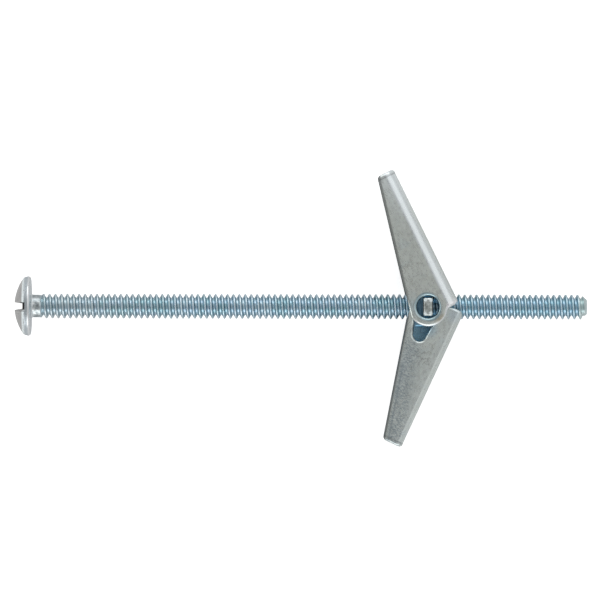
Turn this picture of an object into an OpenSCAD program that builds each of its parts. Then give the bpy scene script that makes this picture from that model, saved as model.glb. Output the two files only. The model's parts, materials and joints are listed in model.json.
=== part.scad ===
// Spring toggle bolt, #6-32 UNC: a slotted truss-head screw, a trunnion nut that travels along it,
// and two folded-sheet wings that a torsion spring swings open about the nut's tabs.
// The origin is the centre of the head's bearing face. +X runs down the screw to its tip,
// +Z is the wings' hinge axis, and the wings spread along Y.

/* [Screw] */
// Length from the bearing face to the tip
screw_len = 74.37; // [60:0.1:100]
// Major diameter of the thread
thread_d = 3.34; // [2.8:0.01:3.6]
// Diameter of the plain neck
neck_d = 3.05; // [2.6:0.01:3.2]
// Length of the plain neck
neck_len = 1.1; // [0.8:0.05:3]
// Length of the pointed end of the thread
point_len = 0.6; // [0.2:0.05:0.8]
// Radius of the flat end of the point
point_r = 1.05; // [0.8:0.05:1.3]
// Length of the runout between the neck and the full thread
runout_len = 0.35; // [0.1:0.05:0.8]

/* [Head] */
// Diameter of the head
head_d = 8; // [7:0.02:10]
// Height of the head above its bearing face
head_h = 2.25; // [1.8:0.05:3]
// Radius of the head's crown
crown_r = 6.5; // [6:0.1:9]
// Radius that rolls the head's rim over to the bearing face
rim_r = 0.4; // [0.3:0.05:0.6]
// Fillet between the bearing face and the neck
neck_fillet = 0.15; // [0.05:0.01:0.3]
// Width of the driver slot
slot_w = 1.1; // [0.8:0.05:1.4]
// Depth of the driver slot below the crown
slot_depth = 1.07; // [0.6:0.01:1.2]
// Radius along the driver slot's crowned floor
slot_floor_r = 17; // [12:0.5:60]
// Angle of the driver slot from the hinge axis
slot_turn = 3; // [0:0.5:180]

/* [Nut] */
// Place of the hinge axis along the screw
pivot_x = 53.05; // [42:0.01:66]
// Clearance between the thread and the nut's bore
thread_gap = 0.03; // [0.02:0.01:0.08]
// Thickness of the hinge tabs along the screw
tab_t = 1.28; // [1:0.01:1.5]
// Width of the hinge tabs
tab_w = 2.5; // [2:0.05:2.6]
// Thickness of the nut's plate
plate_t = 1.1; // [0.8:0.05:1.5]
// Width of the nut's plate across the wings
plate_w = 5.4; // [4.8:0.05:5.8]
// Wall left round the nut's bore
bore_wall = 0.45; // [0.35:0.05:0.6]
// Wall left between the bore and the spring's coil
coil_wall = 0.22; // [0.2:0.01:0.4]
// Radius of the plate's corners
plate_r = 0.4; // [0.2:0.05:0.8]
// How far the tabs stop short of the outer ears' faces
tab_recess = 0.1; // [0.05:0.01:0.3]
// Chamfer round the ends of the tabs
tab_chamfer = 0.2; // [0.1:0.01:0.3]

/* [Wings] */
// Thickness of the wings' sheet
sheet_t = 0.6; // [0.5:0.01:0.7]
// Distance from the hinge axis to a wing's tip
wing_len = 18.55; // [15:0.05:24]
// Radius of the ears round the hinge axis
ear_r = 2.6; // [2.4:0.05:2.8]
// Clearance between the nut, the inner ears and the outer ears
ear_gap = 0.06; // [0.04:0.01:0.12]
// Outside bend radius beside an outer ear
bend_outer = 1.4; // [1.1:0.05:1.6]
// Outside bend radius beside an inner ear
bend_inner = 0.8; // [0.7:0.05:1.1]
// Gap left between a web's notch and the screw where the open wing stops on it
stop_gap = 0.04; // [0.02:0.01:0.1]
// Radius of the corners at the wings' tips
tip_r = 0.4; // [0.2:0.05:0.8]
// Fillet between an ear and the end of the web
ear_fillet = 0.6; // [0.3:0.05:0.8]
// Clearance between the tabs' corners and the round holes
tab_gap = 0.085; // [0.05:0.005:0.1]
// Radius that rolls the rim of the round holes
hole_rim = 0.34; // [0.1:0.01:0.4]
// Clearance beside the screw in the web's notch
notch_gap = 0.25; // [0.15:0.05:0.4]
// Radius of the notch's inner corners
notch_r = 0.8; // [0.3:0.05:1]

/* [Upper wing] */
// Angle between the upper wing's web and a square to the screw
open_a = 26.2; // [20:0.1:32]
// Distance from the hinge axis to the upper wing's web
web_a = 3.95; // [3.8:0.01:5]
// Distance from the hinge axis to the upper wing's free edge
free_a = 2.5; // [2.2:0.01:2.6]
// Taper of the upper wing
taper_a = 12.8; // [8:0.1:14]
// Radius of the corner at the end of the upper wing's web
corner_a = 0.3; // [0.2:0.05:1]

/* [Lower wing] */
// Angle between the lower wing's web and a square to the screw
open_b = 24.8; // [20:0.1:32]
// Distance from the hinge axis to the lower wing's web
web_b = 4.67; // [4.4:0.01:5.2]
// Distance from the hinge axis to the lower wing's free edge
free_b = 2.39; // [2.2:0.01:2.6]
// Taper of the lower wing
taper_b = 13.8; // [8:0.1:14]
// Radius of the corner at the end of the lower wing's web
corner_b = 0.5; // [0.3:0.05:1]

/* [Pear hole] */
// Radius of the large end, round the hinge axis
pear_r = 1.6; // [1.5:0.01:1.7]
// Radius of the small end
pear_tip_r = 0.88; // [0.6:0.02:1.1]
// Distance along the wing between the two ends
pear_len = 3.8; // [3:0.1:5]
// How far the small end is set towards the web
pear_shift = 0.56; // [0:0.02:1]

/* [Spring] */
// Diameter of the spring's wire
wire_d = 0.32; // [0.26:0.01:0.34]
// Mean radius of the spring's coil
coil_r = 1.75; // [1.7:0.05:2]
// Distance along the wing at which a leg meets the web
leg_reach = 7.5; // [5:0.5:10]
// Gap between turns, legs and what they lie beside
wire_gap = 0.04; // [0.02:0.01:0.06]

/* [Hidden] */
$fn = 96;
past = 1;
coil_step = 10;
wire_sides = 10;

thread_r = thread_d / 2;
bore_r = thread_r + thread_gap;
tab_corner_r = norm([tab_t, tab_w]) / 2;
hole_r = tab_corner_r + tab_gap;

// Distances from the screw's axis along Z, from the coil outwards
coil_z = bore_r + coil_wall + wire_gap;
coil_turn = 360 + leg_angle(web_a, open_a) + leg_angle(web_b, open_b);
coil_drop = (wire_d + wire_gap) * coil_turn / 360;
coil_depth = wire_d + coil_drop;
inner_z = coil_z + coil_depth + ear_gap;
outer_z = inner_z + sheet_t + ear_gap;
wing_z = outer_z + sheet_t;

// The webs run past the hinge axis until the upper wing's bend would foul the lower wing's inner ear
bend_clear_z = outer_z - ear_gap / 2 - wing_z + bend_outer;
bend_clear_x = web_a - bend_outer + sqrt(pow(bend_outer - sheet_t, 2) - pow(bend_clear_z, 2));
web_end = bend_clear_x * tan((open_a + open_b) / 2);

// Moves what is drawn in the plane of a circle round Z so that it turns round X instead
module along_x() rotate([0, 90, 0]) children();

// The region left of corner p between edges towards a and b that a round of radius r cuts away or fills
module corner(p, a, b, r) {
    u = (a - p) / norm(a - p);
    v = (b - p) / norm(b - p);
    half = acos(u * v) / 2;
    reach = r / tan(half);
    centre = p + (u + v) / norm(u + v) * r / sin(half);
    difference() {
        polygon([p + u * reach, p - (u + v) * 0.02, p + v * reach, centre]);
        translate(centre) circle(r);
    }
}

// Half of the head's section, with the axis along Y and the bearing face on y = 0:
// a broad crown arc runs into a tight shoulder arc, and the rim rolls under to the bearing face
module head_section() {
    half_d = head_d / 2;
    shoulder_r = (pow(crown_r, 2) - pow(crown_r - head_h + rim_r, 2) - pow(half_d, 2)) / 2 / (crown_r - half_d);
    crown_centre = [0, head_h - crown_r];
    shoulder_centre = [half_d - shoulder_r, rim_r];
    away = (shoulder_centre - crown_centre) / norm(shoulder_centre - crown_centre);
    meet = shoulder_centre + away * shoulder_r;
    intersection() {
        translate(crown_centre) circle(crown_r);
        translate([0, rim_r]) square([meet[0], head_h]);
    }
    intersection() {
        translate(shoulder_centre) circle(shoulder_r);
        translate([meet[0], rim_r]) square(half_d);
    }
    square([half_d - rim_r, rim_r]);
    intersection() {
        translate([half_d - rim_r, rim_r]) circle(rim_r);
        translate([half_d - rim_r, 0]) square(rim_r);
    }
}

// The cut of the driver slot, whose floor is a shallow arch
module slot_cut() {
    rotate([slot_turn, 0, 0]) difference() {
        translate([-head_h - past, -slot_w / 2, -head_d]) cube([past + head_h, slot_w, 2 * head_d]);
        translate([slot_depth - head_h + slot_floor_r, slot_w, 0]) rotate([90, 0, 0])
            cylinder(r = slot_floor_r, h = 2 * slot_w);
    }
}

module head() {
    difference() {
        rotate([0, -90, 0]) rotate_extrude() head_section();
        slot_cut();
    }
}

module screw() {
    full = neck_len + runout_len;
    color("#b9c6cf") union() {
        head();
        along_x() rotate_extrude() polygon([
            [0, -rim_r], [neck_d / 2, -rim_r], [neck_d / 2, neck_len], [thread_r, full],
            [thread_r, screw_len - point_len], [point_r, screw_len], [0, screw_len]
        ]);
        along_x() rotate_extrude() difference() {
            square([neck_d / 2 + neck_fillet, neck_fillet]);
            translate([neck_d / 2 + neck_fillet, neck_fillet]) circle(neck_fillet);
        }
    }
}

// The nut's plate, seen along the screw
module plate_outline() {
    low = -bore_r - coil_wall;
    high = inner_z - ear_gap;
    difference() {
        translate([low, -plate_w / 2]) square([high - low, plate_w]);
        for (z = [low, high], y = [-1, 1])
            corner([z, y * plate_w / 2], [z == low ? high : low, y * plate_w / 2], [z, 0], plate_r);
    }
}

module tab_strip() {
    half = wing_z - tab_recess;
    slope = tab_chamfer;
    difference() {
        translate([-tab_t / 2, -tab_w / 2, -half]) cube([tab_t, tab_w, 2 * half]);
        for (end = [0, 1]) mirror([0, 0, end]) {
            for (side = [-1, 1]) {
                translate([0, side * tab_w / 2, half]) rotate([45, 0, 0])
                    cube([tab_t + past, slope * sqrt(2), slope * sqrt(2)], center = true);
                translate([side * tab_t / 2, 0, half]) rotate([0, 45, 0])
                    cube([slope * sqrt(2), tab_w + past, slope * sqrt(2)], center = true);
            }
        }
    }
}

module trunnion_nut() {
    back = -tab_t / 2 - plate_t;
    color("#aebcc6") translate([pivot_x, 0, 0]) difference() {
        union() {
            translate([back, 0, 0]) mirror([0, 0, 1]) along_x()
                linear_extrude(plate_t) plate_outline();
            intersection() {
                translate([-tab_t / 2, 0, 0]) along_x() cylinder(r = bore_r + bore_wall, h = tab_t);
                translate([-past, -plate_w / 2, -bore_r - coil_wall]) cube([2 * past, plate_w, 2 * inner_z]);
            }
            tab_strip();
        }
        translate([back - past, 0, 0]) along_x() cylinder(r = bore_r, h = plate_t + tab_t + 2 * past);
    }
}

// Where a wing's free edge crosses a height y above the hinge axis
function edge_x(free, taper, y) = -free / cos(taper) + y * tan(taper);

// A wing seen along the hinge axis: +Y towards its tip, +X towards its web
module wing_outline(web, free, taper, end_r) {
    tip_x = edge_x(free, taper, wing_len);
    fillet_y = -web_end - ear_fillet;
    fillet_x = sqrt(pow(ear_r + ear_fillet, 2) - pow(fillet_y, 2));
    seat = [fillet_x, fillet_y] * ear_r / (ear_r + ear_fillet);
    difference() {
        union() {
            circle(ear_r);
            polygon([
                [0, 0], seat, [fillet_x, fillet_y], [fillet_x, -web_end], [web, -web_end],
                [web, wing_len], [tip_x, wing_len], [edge_x(free, taper, 0), 0]
            ]);
        }
        translate([fillet_x, fillet_y]) circle(ear_fillet);
        polygon([
            [edge_x(free, taper, -2 * ear_r), -2 * ear_r], [edge_x(free, taper, wing_len + past), wing_len + past],
            [-3 * ear_r, wing_len + past], [-3 * ear_r, -2 * ear_r]
        ]);
        corner([web, -web_end], [0, -web_end], [web, 0], end_r);
        corner([web, wing_len], [tip_x, wing_len], [web, 0], tip_r);
        corner([tip_x, wing_len], [web, wing_len], [edge_x(free, taper, 0), 0], tip_r);
    }
}

// The channel's outside, or its inside where inset is the sheet's thickness: X is across, Y along the hinge
module channel_section(web, inset) {
    top = wing_z - inset;
    low = -inner_z - sheet_t + inset;
    face = web - inset;
    difference() {
        translate([-2 * web, low]) square([face + 2 * web, top - low]);
        corner([face, top], [0, top], [face, 0], bend_outer - inset);
        corner([face, low], [0, low], [face, 0], bend_inner - inset);
    }
}

module channel(web) {
    translate([0, -3 * ear_r, 0]) rotate([90, 0, 0]) mirror([0, 0, 1])
        linear_extrude(wing_len + 4 * ear_r) difference() {
            channel_section(web, 0);
            channel_section(web, sheet_t);
        }
}

// The slot in the end of the web that the screw passes through
module screw_notch(web, open) {
    half = thread_r + notch_gap;
    inside = web - sheet_t;
    top = (thread_r + stop_gap - inside * sin(open)) / cos(open);
    translate([inside - bend_outer, 0, 0]) rotate([90, 0, 90]) linear_extrude(bend_outer + web)
        difference() {
            translate([-web_end - past, -half]) square([top + web_end + past, 2 * half]);
            for (side = [-1, 1]) corner([top, side * half], [-web_end, side * half], [top, 0], notch_r);
        }
}

module pear() {
    centre = [pear_shift, pear_len];
    distance = norm(centre);
    toward = atan2(centre[1], centre[0]);
    spread = acos((pear_r - pear_tip_r) / distance);
    circle(pear_r);
    translate(centre) circle(pear_tip_r);
    polygon([
        for (side = [-1, 1]) pear_r * [cos(toward + side * spread), sin(toward + side * spread)],
        for (side = [1, -1]) centre + pear_tip_r * [cos(toward + side * spread), sin(toward + side * spread)]
    ]);
}

module round_hole() {
    cylinder(r = hole_r, h = wing_z + past);
    translate([0, 0, wing_z - hole_rim]) rotate_extrude() difference() {
        square([hole_r + hole_rim, hole_rim + past]);
        translate([hole_r + hole_rim, 0]) circle(hole_rim);
    }
}

// A wing with its outer ear on +Z, swung to its open angle on the +Y side
module wing(web, free, taper, open, end_r) {
    rotate([0, 0, open]) difference() {
        intersection() {
            channel(web);
            translate([0, 0, -wing_z]) linear_extrude(2 * wing_z) wing_outline(web, free, taper, end_r);
        }
        screw_notch(web, open);
        round_hole();
        translate([0, 0, -wing_z]) linear_extrude(wing_z) pear();
    }
}

module wing_a() {
    color("#c3c8c6") translate([pivot_x, 0, 0]) wing(web_a, free_a, taper_a, open_a, corner_a);
}

module wing_b() {
    color("#b4bbbb") translate([pivot_x, 0, 0]) rotate([180, 0, 0])
        wing(web_b, free_b, taper_b, open_b, corner_b);
}

// Where a leg lies against the inside of a wing's web, in the wing's own plane
function leg_seat(web) = [web - sheet_t - wire_gap - wire_d / 2, leg_reach];

// The angle round the hinge, from square to the screw's tip side, at which a straight leg leaves the coil
function leg_angle(web, open) =
    let (seat = leg_seat(web)) open - acos(coil_r / norm(seat)) + atan2(seat[1], seat[0]);

function turned(point, angle) = [
    point[0] * cos(angle) - point[1] * sin(angle),
    point[0] * sin(angle) + point[1] * cos(angle)
];

// The wire's route: down one leg, once round the tab and out along the other leg
function spring_route() =
    let (
        first = leg_angle(web_a, open_a),
        steps = ceil(coil_turn / coil_step),
        end_a = turned(leg_seat(web_a), open_a),
        end_b = turned(leg_seat(web_b), open_b)
    ) [
        [end_a[0], end_a[1], 0],
        for (i = [0:steps]) let (angle = first - coil_turn * i / steps)
            [coil_r * cos(angle), coil_r * sin(angle), -coil_drop * i / steps],
        [end_b[0], -end_b[1], -coil_drop]
    ];

// A round wire along a route that keeps close to one level
module wire(route, diameter, sides) {
    last = len(route) - 1;
    rings = [
        for (i = [0:last]) let (
            way = route[min(i + 1, last)] - route[max(i - 1, 0)],
            across = cross(way, [0, 0, 1]) / norm(cross(way, [0, 0, 1])),
            up = cross(across, way) / norm(way)
        )
        [for (k = [0:sides - 1])
            route[i] + (across * cos(360 * k / sides) + up * sin(360 * k / sides)) * diameter / 2]
    ];
    polyhedron(
        points = [for (ring = rings) each ring],
        faces = [
            [for (k = [0:sides - 1]) k],
            [for (k = [0:sides - 1]) last * sides + sides - 1 - k],
            for (i = [0:last - 1], k = [0:sides - 1]) let (next = (k + 1) % sides)
                [i * sides + k, (i + 1) * sides + k, (i + 1) * sides + next, i * sides + next]
        ]
    );
}

module torsion_spring() {
    color("#8f9aa3") translate([pivot_x, 0, -coil_z - wire_d / 2])
        wire(spring_route(), wire_d, wire_sides);
}

screw();
trunnion_nut();
wing_a();
wing_b();
torsion_spring();
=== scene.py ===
# %% [markdown]
# # A spring toggle bolt
#
# A toggle bolt holds a fixture on a hollow wall. Its screw goes through the fixture, and two
# folded-sheet wings on a small nut spring open behind the wall. This lesson dresses the packed
# model of such a bolt for a picture: the solids say where everything is and how big it is, and
# the cells below add what the solids leave out, which is the helical thread, the soft edges of
# pressed sheet metal and the zinc plating.
#
# Every length is in metres. The screw's axis is X, the wings' hinge is Z, and the origin is the
# centre of the face under the screw's head.

import json
import math

import bmesh
import bpy
from mathutils import Matrix, Vector


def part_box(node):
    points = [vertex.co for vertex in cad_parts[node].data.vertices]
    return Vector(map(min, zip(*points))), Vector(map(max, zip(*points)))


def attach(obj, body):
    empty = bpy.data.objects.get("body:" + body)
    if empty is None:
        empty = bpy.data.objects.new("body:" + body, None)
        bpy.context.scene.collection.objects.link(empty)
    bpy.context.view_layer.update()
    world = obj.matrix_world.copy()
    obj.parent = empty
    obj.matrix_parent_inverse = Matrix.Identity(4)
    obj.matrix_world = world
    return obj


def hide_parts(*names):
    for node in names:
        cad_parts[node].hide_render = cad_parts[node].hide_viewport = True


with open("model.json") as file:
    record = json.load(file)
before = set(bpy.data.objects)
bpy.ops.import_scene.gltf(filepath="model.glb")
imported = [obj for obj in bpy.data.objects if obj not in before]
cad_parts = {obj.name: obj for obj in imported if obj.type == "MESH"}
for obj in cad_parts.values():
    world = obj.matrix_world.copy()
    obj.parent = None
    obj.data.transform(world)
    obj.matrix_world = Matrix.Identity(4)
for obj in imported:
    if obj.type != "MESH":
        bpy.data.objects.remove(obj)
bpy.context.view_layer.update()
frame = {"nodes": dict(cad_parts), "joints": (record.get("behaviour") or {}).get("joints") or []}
MM = 0.001

# %% [markdown]
# ## Where things are
#
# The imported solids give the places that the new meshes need: the length of the screw, the size
# of its head and the hinge. They could be written here as numbers, but reading them from the
# frame keeps the picture true to the solids if a size changes.

# %% Read the places from the solids
screw_low, screw_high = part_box("screw")
joints = {joint["name"]: joint for joint in frame["joints"]}
hinge = Vector(joints["wing_a_fold"]["pos_m"])
screw_end = screw_high.x
head_top = screw_low.x
head_radius = screw_high.z
nut_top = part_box("trunnion_nut")[1].z
SLOT_WIDTH = 1.1 * MM
print("screw", round(screw_end / MM, 2), "mm, hinge at", round(hinge.x / MM, 2), "mm")

# %% [markdown]
# ## Camera
#
# The bolt lies on a table and is seen from straight above, from far enough away that the head
# and the tip are seen almost square on. An orthographic camera would see them quite square, but
# a long lens at that distance keeps a little of the depth that an eye expects. The camera is
# turned by a tenth of a degree, as the bolt doesn't lie quite level.

# %% Place the camera
VIEW_DISTANCE = 800 * MM
VIEW_WIDTH = 80.306 * MM
VIEW_CENTRE = (35.987 * MM, 0.875 * MM)
VIEW_TURN = math.radians(0.116)
SENSOR_WIDTH = 36
NEAREST, FARTHEST = 0.01, 20

camera_data = bpy.data.cameras.new("overhead_camera")
camera_data.sensor_width = SENSOR_WIDTH
camera_data.lens = SENSOR_WIDTH * VIEW_DISTANCE / VIEW_WIDTH
camera_data.clip_start, camera_data.clip_end = NEAREST, FARTHEST
camera = bpy.data.objects.new("overhead_camera", camera_data)
camera.location = (*VIEW_CENTRE, VIEW_DISTANCE)
camera.rotation_euler = (0, 0, VIEW_TURN)
bpy.context.scene.collection.objects.link(camera)
bpy.context.scene.camera = camera
bpy.context.scene.view_settings.view_transform = "Standard"
print("camera", round(camera_data.lens), "mm lens,", round(VIEW_DISTANCE / MM), "mm away")

# %% [markdown]
# ## Building materials
#
# A material is a small network of nodes. Wiring one by hand takes several lines for each node,
# so these helpers do it in one: the first cell adds a node and sets its values, the second mixes
# and compares numbers, and the third says where a point is on a piece. They take the material's
# node tree first, and most give back an output that the next one can use.

# %% Helpers that add nodes
def start_material(name):
    material = bpy.data.materials.new(name)
    material.use_nodes = True
    material.node_tree.nodes.clear()
    return material, material.node_tree


def add(tree, kind, **values):
    """A new node, with each value given to the setting or else the input of that name."""
    node = tree.nodes.new(kind)
    for key, value in values.items():
        if hasattr(node, key):
            setattr(node, key, value)
        else:
            node.inputs[key].default_value = value
    return node


def set_input(tree, socket, value):
    """Wire an output to a socket, or write a plain number or colour in it."""
    if hasattr(value, "links"):
        tree.links.new(value, socket)
    elif isinstance(value, tuple):
        socket.default_value = (*value, 1)
    else:
        socket.default_value = value


def surface(tree, shader):
    out = add(tree, "ShaderNodeOutputMaterial")
    tree.links.new(shader.outputs[0], out.inputs["Surface"])


# %% Helpers that mix and compare
def grey(value):
    return (value, value, value)


def ramp(tree, source, stops):
    """Colours for a pattern, from a list of pattern values and their colours."""
    node = add(tree, "ShaderNodeValToRGB")
    elements = node.color_ramp.elements
    while len(elements) < len(stops):
        elements.new(0.5)
    for element, (value, colour) in zip(elements, stops):
        element.position = value
        element.color = (*colour, 1)
    tree.links.new(source, node.inputs["Fac"])
    return node.outputs["Color"]


def mix_colour(tree, factor, first, second, blend="MIX"):
    node = add(tree, "ShaderNodeMix", data_type="RGBA", blend_type=blend)
    for socket, value in (("Factor", factor), ("A", first), ("B", second)):
        set_input(tree, node.inputs[socket], value)
    return node.outputs["Result"]


def maths(tree, operation, first, second=0.0):
    node = add(tree, "ShaderNodeMath", operation=operation)
    set_input(tree, node.inputs[0], first)
    set_input(tree, node.inputs[1], second)
    return node.outputs[0]


def times(tree, first, second):
    return maths(tree, "MULTIPLY", first, second)


def without_sign(tree, value):
    return maths(tree, "ABSOLUTE", value)


def step(tree, value, low, high, before=0.0, after=1.0):
    """A smooth change from one number to another as the value runs from low to high."""
    node = add(tree, "ShaderNodeMapRange", interpolation_type="SMOOTHSTEP")
    numbers = {"Value": value, "From Min": low, "From Max": high, "To Min": before, "To Max": after}
    for socket, number in numbers.items():
        set_input(tree, node.inputs[socket], number)
    return node.outputs["Result"]


def band(tree, value, rise, full, fade, end, amount=1.0):
    """Nought up to rise, the amount from full to fade, and nought again past end."""
    return times(tree, step(tree, value, rise, full), step(tree, value, fade, end, amount, 0.0))


# %% Helpers that say where a point is
def millimetres(tree, origin=0.0, turn=0.0, side=1.0):
    """Position in millimetres from a point on the screw's axis, in the frame of a turned piece."""
    source = add(tree, "ShaderNodeTexCoord")
    node = add(tree, "ShaderNodeMapping")
    node.inputs["Location"].default_value = (-origin * math.cos(turn), origin * math.sin(turn), 0)
    node.inputs["Rotation"].default_value = (0, 0, -turn)
    node.inputs["Scale"].default_value = (1 / MM, side / MM, side / MM)
    tree.links.new(source.outputs["Object"], node.inputs["Vector"])
    return node.outputs[0]


def vector_maths(tree, operation, place, numbers=(0, 0, 0)):
    node = add(tree, "ShaderNodeVectorMath", operation=operation)
    tree.links.new(place, node.inputs[0])
    node.inputs[1].default_value = numbers
    return node


def stretch(tree, place, factors):
    """A place with each of its coordinates multiplied."""
    return vector_maths(tree, "MULTIPLY", place, factors).outputs[0]


def length(tree, place):
    return vector_maths(tree, "LENGTH", place).outputs["Value"]


def along(tree, place, direction, offset=0.0):
    """How far a place lies along a direction."""
    reach = vector_maths(tree, "DOT_PRODUCT", place, direction).outputs["Value"]
    return maths(tree, "ADD", reach, offset)


def spot(tree, place, centre, radii, core=0.5):
    """One in the core of an ellipsoid, fading to nought at its surface."""
    from_centre = vector_maths(tree, "SUBTRACT", place, centre).outputs[0]
    reach = length(tree, stretch(tree, from_centre, [1 / radius for radius in radii]))
    return step(tree, reach, core, 1.0, 1.0, 0.0)


def noise(tree, place, scale, detail=4.0, roughness=0.6):
    node = add(tree, "ShaderNodeTexNoise", Scale=scale, Detail=detail, Roughness=roughness)
    tree.links.new(place, node.inputs["Vector"])
    return node.outputs["Fac"]


# %% [markdown]
# ## Floor and light
#
# The floor is a plain white sheet. More light would make it white, but would burn out the metal
# too, so to the camera alone it glows a little, and it still shows the bolt's soft shadow. The
# sky is pale all round, with a darker patch overhead that gives the flat faces their grey, and
# four softboxes draw the bright lines along the screw. They are lamps, not glowing cards, so
# that they can't be seen in another view.

# %% Lay the floor
FLOOR_HALF_WIDTH = 1.5
FLOOR_GAP = 0.02 * MM
PAPER_WHITE = 0.85
PAPER_GLOW = 0.72


def link_mesh(name, bm):
    """A new object at the origin from a finished bmesh."""
    mesh = bpy.data.meshes.new(name)
    bm.to_mesh(mesh)
    bm.free()
    piece = bpy.data.objects.new(name, mesh)
    bpy.context.scene.collection.objects.link(piece)
    return piece


def make_floor():
    bm = bmesh.new()
    bmesh.ops.create_grid(bm, x_segments=1, y_segments=1, size=FLOOR_HALF_WIDTH)
    bmesh.ops.translate(bm, vec=(hinge.x, 0, -head_radius - FLOOR_GAP), verts=bm.verts)
    return link_mesh("white_floor", bm)


def white_paper():
    material, tree = start_material("white_paper")
    paper = add(tree, "ShaderNodeBsdfDiffuse", Color=(*grey(PAPER_WHITE), 1))
    glow = add(tree, "ShaderNodeEmission", Color=(1, 1, 1, 1))
    path = add(tree, "ShaderNodeLightPath")
    seen = times(tree, path.outputs["Is Camera Ray"], PAPER_GLOW)
    tree.links.new(seen, glow.inputs["Strength"])
    total = add(tree, "ShaderNodeAddShader")
    tree.links.new(paper.outputs[0], total.inputs[0])
    tree.links.new(glow.outputs[0], total.inputs[1])
    surface(tree, total)
    return material


white_floor = make_floor()
white_floor.data.materials.append(white_paper())
print("floor at", round(white_floor.data.vertices[0].co.z / MM, 2), "mm")

# %% Hang the sky
PATCH_STRETCH = (1, 0.85, 0)
PATCH_SHIFT = (0.14, 0, 0)
PATCH_EDGE = (0.14, 0.38)
PATCH_TO_SKY = (0.34, 0.68)
DIM_SIDE = (-0.9, -0.1)
DIM_TO_FULL = (0.55, 1.0)


def make_sky():
    """Pale, with a darker patch overhead, and dimmer towards the head of the screw."""
    world = bpy.data.worlds.new("soft_studio")
    bpy.context.scene.world = world
    world.use_nodes = True
    tree = world.node_tree
    tree.nodes.clear()
    direction = add(tree, "ShaderNodeTexCoord").outputs["Generated"]
    patch = vector_maths(tree, "MULTIPLY_ADD", direction, PATCH_STRETCH)
    patch.inputs[2].default_value = PATCH_SHIFT
    overhead = step(tree, length(tree, patch.outputs[0]), *PATCH_EDGE, *PATCH_TO_SKY)
    dimmer = step(tree, along(tree, direction, (1, 0, 0)), *DIM_SIDE, *DIM_TO_FULL)
    background = add(tree, "ShaderNodeBackground")
    tree.links.new(times(tree, overhead, dimmer), background.inputs["Strength"])
    out = add(tree, "ShaderNodeOutputWorld")
    tree.links.new(background.outputs[0], out.inputs["Surface"])
    print("sky:", len(tree.nodes), "nodes")


make_sky()

# %% Set up the softboxes
SOFTBOX_DISTANCE = 0.6
SOFTBOXES = {
    # azimuth and elevation in degrees, width and height, and brightness
    "softbox_right": (32, 52, (0.46, 0.62), 0.3),
    "softbox_near": (-92, 26, (0.6, 0.44), 1.15),
    "softbox_far": (88, 26, (0.6, 0.44), 1.05),
    "softbox_left": (180, 17, (0.9, 0.2), 1.9),
}


def softbox(name, azimuth, elevation, size, brightness):
    """An area lamp that looks at the bolt, as bright to the eye as a sheet of that brightness."""
    data = bpy.data.lights.new(name, "AREA")
    data.shape = "RECTANGLE"
    data.size, data.size_y = size
    data.energy = brightness * math.pi * size[0] * size[1]
    lamp = bpy.data.objects.new(name, data)
    turn, rise = math.radians(azimuth), math.radians(elevation)
    away = Vector((math.cos(turn), math.sin(turn), 0)) * math.cos(rise)
    away.z = math.sin(rise)
    lamp.location = Vector((hinge.x / 2, 0, 0)) + away * SOFTBOX_DISTANCE
    lamp.rotation_euler = away.to_track_quat("Z", "Y").to_euler()
    bpy.context.scene.collection.objects.link(lamp)
    print(name, round(data.energy, 2), "W")


for name, settings in SOFTBOXES.items():
    softbox(name, *settings)

# %% [markdown]
# ## Zinc plating
#
# All the metal is steel with a thin coat of zinc. A metal of one plain colour would look like
# foil, because a real coat varies with how it was made and handled. So every plating here ends
# in the same finish: a metal whose colour is worked out from where a point is, with a pattern
# of fine lines that changes its roughness and its bump. Where painted shade or a dark band is
# laid on, the metal loses its shine and turns a dull black, and where a painted highlight is
# laid on, the coat turns a diffuse white.

# %% Finish a plating from its colour
# a painted highlight is laid on as a part diffuse white, and painted shade as a dull black
GLINT_MATTE = 0.8
GLINT_WHITE = (0.88, 0.96, 0.97)
DARKENED_BLACK = grey(0.03)
FULLY_DARKENED = 0.9
PLAIN_SPECULAR = 0.5
LINE_CONTRAST = (0.3, 0.7)
BUMP_STRENGTH = 0.25


def plate(material, tree, colour, lines, roughness, bump_height=0.01, darkened=None, painted_glint=None):
    """Wire a colour and a pattern of lines into a metal, with its darkened places and its painted
    highlights.
    """
    metal = add(tree, "ShaderNodeBsdfPrincipled")
    shine = 1.0
    # a painted highlight turns the coat a diffuse white
    if painted_glint is not None:
        shine = maths(tree, "SUBTRACT", shine, times(tree, painted_glint, GLINT_MATTE))
        colour = mix_colour(tree, painted_glint, colour, GLINT_WHITE)
    # painted shade, or a dark band along a cut edge, turns it a dull black
    if darkened is not None:
        shine = times(tree, shine, maths(tree, "SUBTRACT", 1.0, darkened))
        colour = mix_colour(tree, darkened, colour, DARKENED_BLACK)
        specular = step(tree, darkened, 0.0, FULLY_DARKENED, PLAIN_SPECULAR, 0.0)
        tree.links.new(specular, metal.inputs["Specular IOR Level"])
    set_input(tree, metal.inputs["Metallic"], shine)
    set_input(tree, metal.inputs["Base Color"], colour)
    tree.links.new(step(tree, lines, *LINE_CONTRAST, *roughness), metal.inputs["Roughness"])
    bump = add(tree, "ShaderNodeBump", Strength=BUMP_STRENGTH, Distance=bump_height * MM)
    tree.links.new(lines, bump.inputs["Height"])
    tree.links.new(bump.outputs[0], metal.inputs["Normal"])
    surface(tree, metal)
    print(material.name, len(tree.nodes), "nodes")
    return material
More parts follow.
